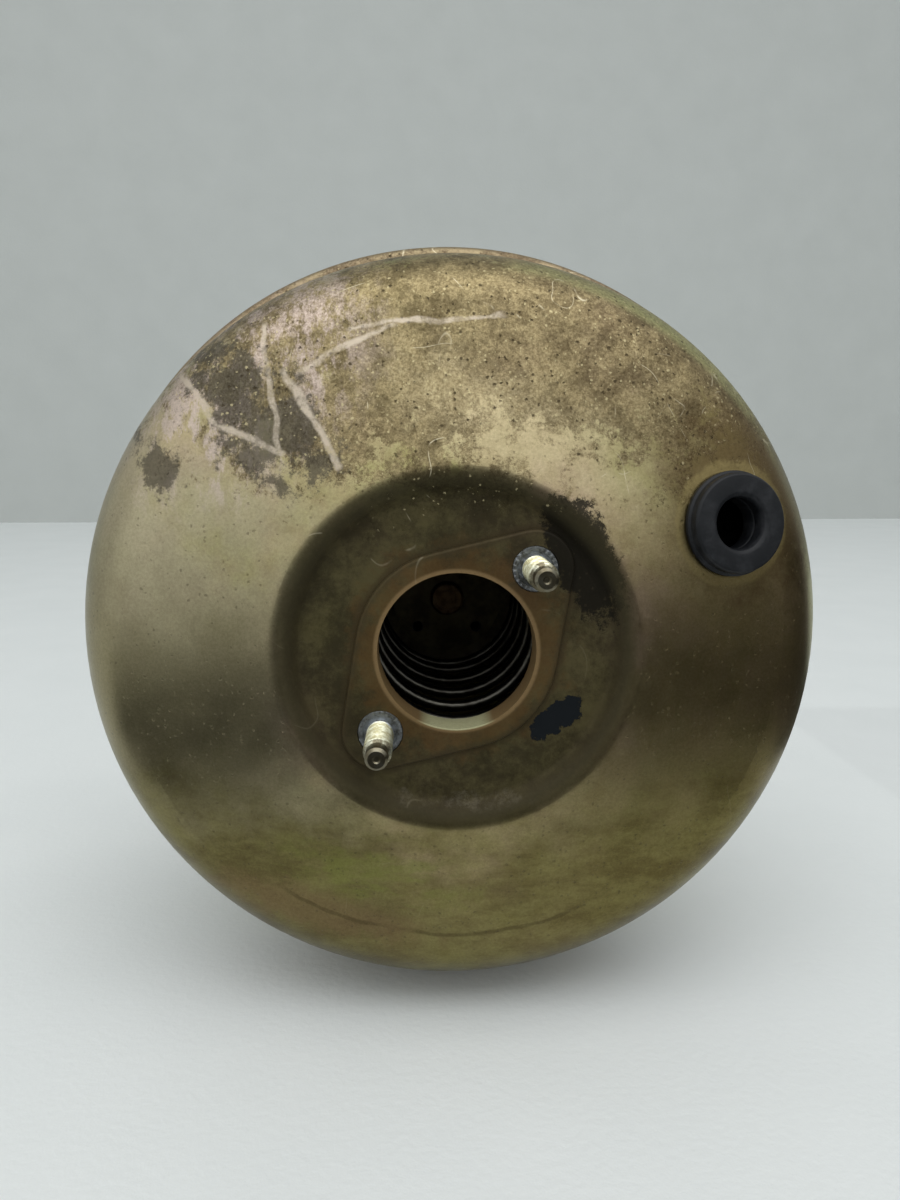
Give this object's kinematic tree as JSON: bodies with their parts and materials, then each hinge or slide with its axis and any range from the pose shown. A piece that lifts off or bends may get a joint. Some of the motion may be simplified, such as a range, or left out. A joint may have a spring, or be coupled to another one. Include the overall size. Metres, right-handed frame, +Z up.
{
  "type": "brake booster",
  "caption": "Round single-diaphragm vacuum brake booster with a master cylinder bore and studs in front, firewall studs, dust boot and clevis rod behind.",
  "frame": {"origin": "centre of the firewall mounting face, on the booster's axis", "axes": "+Y along the axis, from the master cylinder side to the pedal side; +Z up; +X to the right seen from the front"},
  "size_m": [0.252, 0.287, 0.252],
  "materials": {
    "zinc_plate": "worn yellow zinc plating on pressed steel",
    "zinc_stud": "yellow zinc plated steel, worn",
    "bright_steel": "bare or clear zinc plated steel",
    "spring_steel": "black coated spring wire",
    "pushrod_steel": "browned steel",
    "rubber": "matt black moulded rubber",
    "phenolic": "black moulded phenolic",
    "black_plastic": "black moulded bearing plastic",
    "felt": "grey felt",
    "foam": "open-cell foam"
  },
  "bodies": {
    "housing": {"front_shell": "zinc_plate", "rear_shell": "zinc_plate", "master_cylinder_studs": "zinc_stud", "stud_plate": "zinc_plate", "spring_seat": "zinc_plate", "return_spring": "spring_steel", "vacuum_grommet": "rubber", "firewall_studs": "zinc_stud", "firewall_plate": "zinc_plate", "guide_bearing": "black_plastic", "neck_seal": "rubber", "neck_ring": "bright_steel", "diaphragm": "rubber", "dust_boot": "rubber"},
    "power_piston": {"valve_body": "phenolic", "diaphragm_plate": "bright_steel", "reaction_disc": "rubber", "output_pushrod": "pushrod_steel", "pushrod_cap": "bright_steel", "stop_key": "bright_steel", "poppet": "rubber", "poppet_retainer": "bright_steel", "poppet_spring": "spring_steel", "rod_spring": "spring_steel", "silencer": "felt", "air_filter": "foam"},
    "valve_plunger": {"valve_plunger": "bright_steel"},
    "input_rod": {"input_rod": "zinc_stud", "rod_washer": "bright_steel", "lock_nut": "zinc_stud", "clevis": "zinc_plate"}
  },
  "joints": [
    {"name": "piston_stroke", "type": "slide", "parent": "housing", "child": "power_piston", "axis": [0, -1, 0], "range_m": [0, 0.034], "stiffness_N_per_m": 2000, "springref_m": -0.04, "deforming": ["return_spring", "diaphragm", "dust_boot"]},
    {"name": "valve_travel", "type": "slide", "parent": "power_piston", "child": "valve_plunger", "axis": [0, -1, 0], "range_m": [0, 0.0025], "stiffness_N_per_m": 3000, "springref_m": -0.006, "deforming": ["rod_spring", "dust_boot"]},
    {"name": "rod_tilt", "type": "hinge", "parent": "valve_plunger", "child": "input_rod", "pos_m": [0, 0.003, 0], "axis": [1, 0, 0], "range_deg": [-3, 3], "stiffness_Nm_per_rad": 20, "deforming": ["rod_spring", "dust_boot"]}
  ]
}
